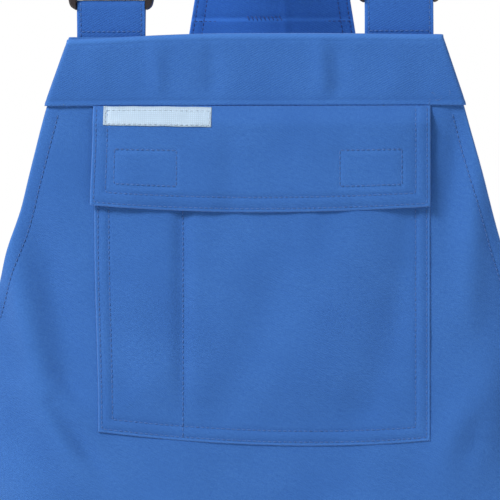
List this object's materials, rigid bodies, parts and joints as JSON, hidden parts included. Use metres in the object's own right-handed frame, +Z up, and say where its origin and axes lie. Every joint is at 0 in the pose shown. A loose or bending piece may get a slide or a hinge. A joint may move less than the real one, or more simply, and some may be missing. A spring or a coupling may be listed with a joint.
{
  "type": "welding apron",
  "caption": "Bib apron of royal-blue flame-resistant cotton with a flapped chest pocket, shoulder straps on side-release buckles, a back yoke and a waist belt.",
  "frame": {"origin": "midway between the shoulders, at the height where the two shoulder straps bear on them (the underside of the straps' highest point)", "axes": "+Z up, +X to the viewer's right when facing the bib, +Y from the bib towards the wearer's back; the apron is held in its worn shape"},
  "size_m": [0.4172, 0.2187, 1.072],
  "materials": {
    "twill": "matte",
    "yoke_twill": "matte",
    "strap_twill": "matte",
    "woven_label": "matte",
    "loop_tape": "matte",
    "hook_tape": "matte",
    "acetal": "satin"
  },
  "bodies": {
    "apron": {"front_panel": "twill", "top_band": "twill", "band_facing": "twill", "armhole_hem_left": "twill", "armhole_hem_right": "twill", "side_hem_left": "twill", "side_hem_right": "twill", "bottom_hem": "twill", "pocket_bag": "twill", "pocket_hem": "twill", "loop_tape_left": "loop_tape", "loop_tape_right": "loop_tape", "strap_tab_left": "strap_twill", "strap_tab_right": "strap_twill", "buckle_socket_left": "acetal", "buckle_socket_right": "acetal", "back_yoke": "yoke_twill", "yoke_lining": "yoke_twill", "hanging_loop": "strap_twill", "back_strap_left": "strap_twill", "back_strap_right": "strap_twill", "belt_loop_left": "strap_twill", "belt_loop_right": "strap_twill", "belt_left": "strap_twill", "buckle_socket_belt": "acetal"},
    "flap": {"pocket_flap": "twill", "flap_lining": "twill", "name_label": "woven_label", "hook_tape_left": "hook_tape", "hook_tape_right": "hook_tape"},
    "strap_left": {"shoulder_strap_left": "strap_twill", "buckle_plug_left": "acetal"},
    "strap_right": {"shoulder_strap_right": "strap_twill", "buckle_plug_right": "acetal"},
    "belt_end": {"belt_right": "strap_twill", "buckle_plug_belt": "acetal"},
    "prong_outer_left": {"buckle_prong_outer_left": "acetal"},
    "prong_inner_left": {"buckle_prong_inner_left": "acetal"},
    "prong_inner_right": {"buckle_prong_inner_right": "acetal"},
    "prong_outer_right": {"buckle_prong_outer_right": "acetal"},
    "prong_upper_belt": {"buckle_prong_upper_belt": "acetal"},
    "prong_lower_belt": {"buckle_prong_lower_belt": "acetal"}
  },
  "joints": [
    {"name": "flap_hinge", "type": "hinge", "parent": "apron", "child": "flap", "pos_m": [0.0042, -0.1022, -0.2122], "axis": [-1, 0, 0], "range_deg": [0, 140]},
    {"name": "release_left", "type": "slide", "parent": "apron", "child": "strap_left", "axis": [0, 0, 1], "range_m": [0, 0.028], "deforming": ["buckle_prong_outer_left", "buckle_prong_inner_left"]},
    {"name": "release_right", "type": "slide", "parent": "apron", "child": "strap_right", "axis": [0, 0, 1], "range_m": [0, 0.028], "deforming": ["buckle_prong_inner_right", "buckle_prong_outer_right"]},
    {"name": "release_belt", "type": "slide", "parent": "apron", "child": "belt_end", "axis": [1, 0, 0], "range_m": [0, 0.028], "deforming": ["buckle_prong_upper_belt", "buckle_prong_lower_belt"]},
    {"name": "squeeze_outer_left", "type": "hinge", "parent": "strap_left", "child": "prong_outer_left", "pos_m": [-0.1031, -0.0968, -0.1135], "axis": [0, -1, 0], "range_deg": [0, 13], "stiffness_Nm_per_rad": 0.15},
    {"name": "squeeze_inner_left", "type": "hinge", "parent": "strap_left", "child": "prong_inner_left", "pos_m": [-0.0701, -0.0968, -0.1135], "axis": [0, -1, 0], "range_deg": [-13, 0], "stiffness_Nm_per_rad": 0.15},
    {"name": "squeeze_inner_right", "type": "hinge", "parent": "strap_right", "child": "prong_inner_right", "pos_m": [0.0701, -0.0968, -0.1095], "axis": [0, -1, 0], "range_deg": [0, 13], "stiffness_Nm_per_rad": 0.15},
    {"name": "squeeze_outer_right", "type": "hinge", "parent": "strap_right", "child": "prong_outer_right", "pos_m": [0.1031, -0.0968, -0.1095], "axis": [0, -1, 0], "range_deg": [-13, 0], "stiffness_Nm_per_rad": 0.15},
    {"name": "squeeze_upper_belt", "type": "hinge", "parent": "belt_end", "child": "prong_upper_belt", "pos_m": [0.009, 0.1043, -0.4135], "axis": [0, -1, 0], "range_deg": [0, 13], "stiffness_Nm_per_rad": 0.15},
    {"name": "squeeze_lower_belt", "type": "hinge", "parent": "belt_end", "child": "prong_lower_belt", "pos_m": [0.009, 0.1043, -0.4465], "axis": [0, -1, 0], "range_deg": [-13, 0], "stiffness_Nm_per_rad": 0.15}
  ],
  "couplings": [
    {"joint": "squeeze_inner_left", "follows": "squeeze_outer_left", "ratio": -1},
    {"joint": "squeeze_outer_right", "follows": "squeeze_inner_right", "ratio": -1},
    {"joint": "squeeze_lower_belt", "follows": "squeeze_upper_belt", "ratio": -1}
  ]
}
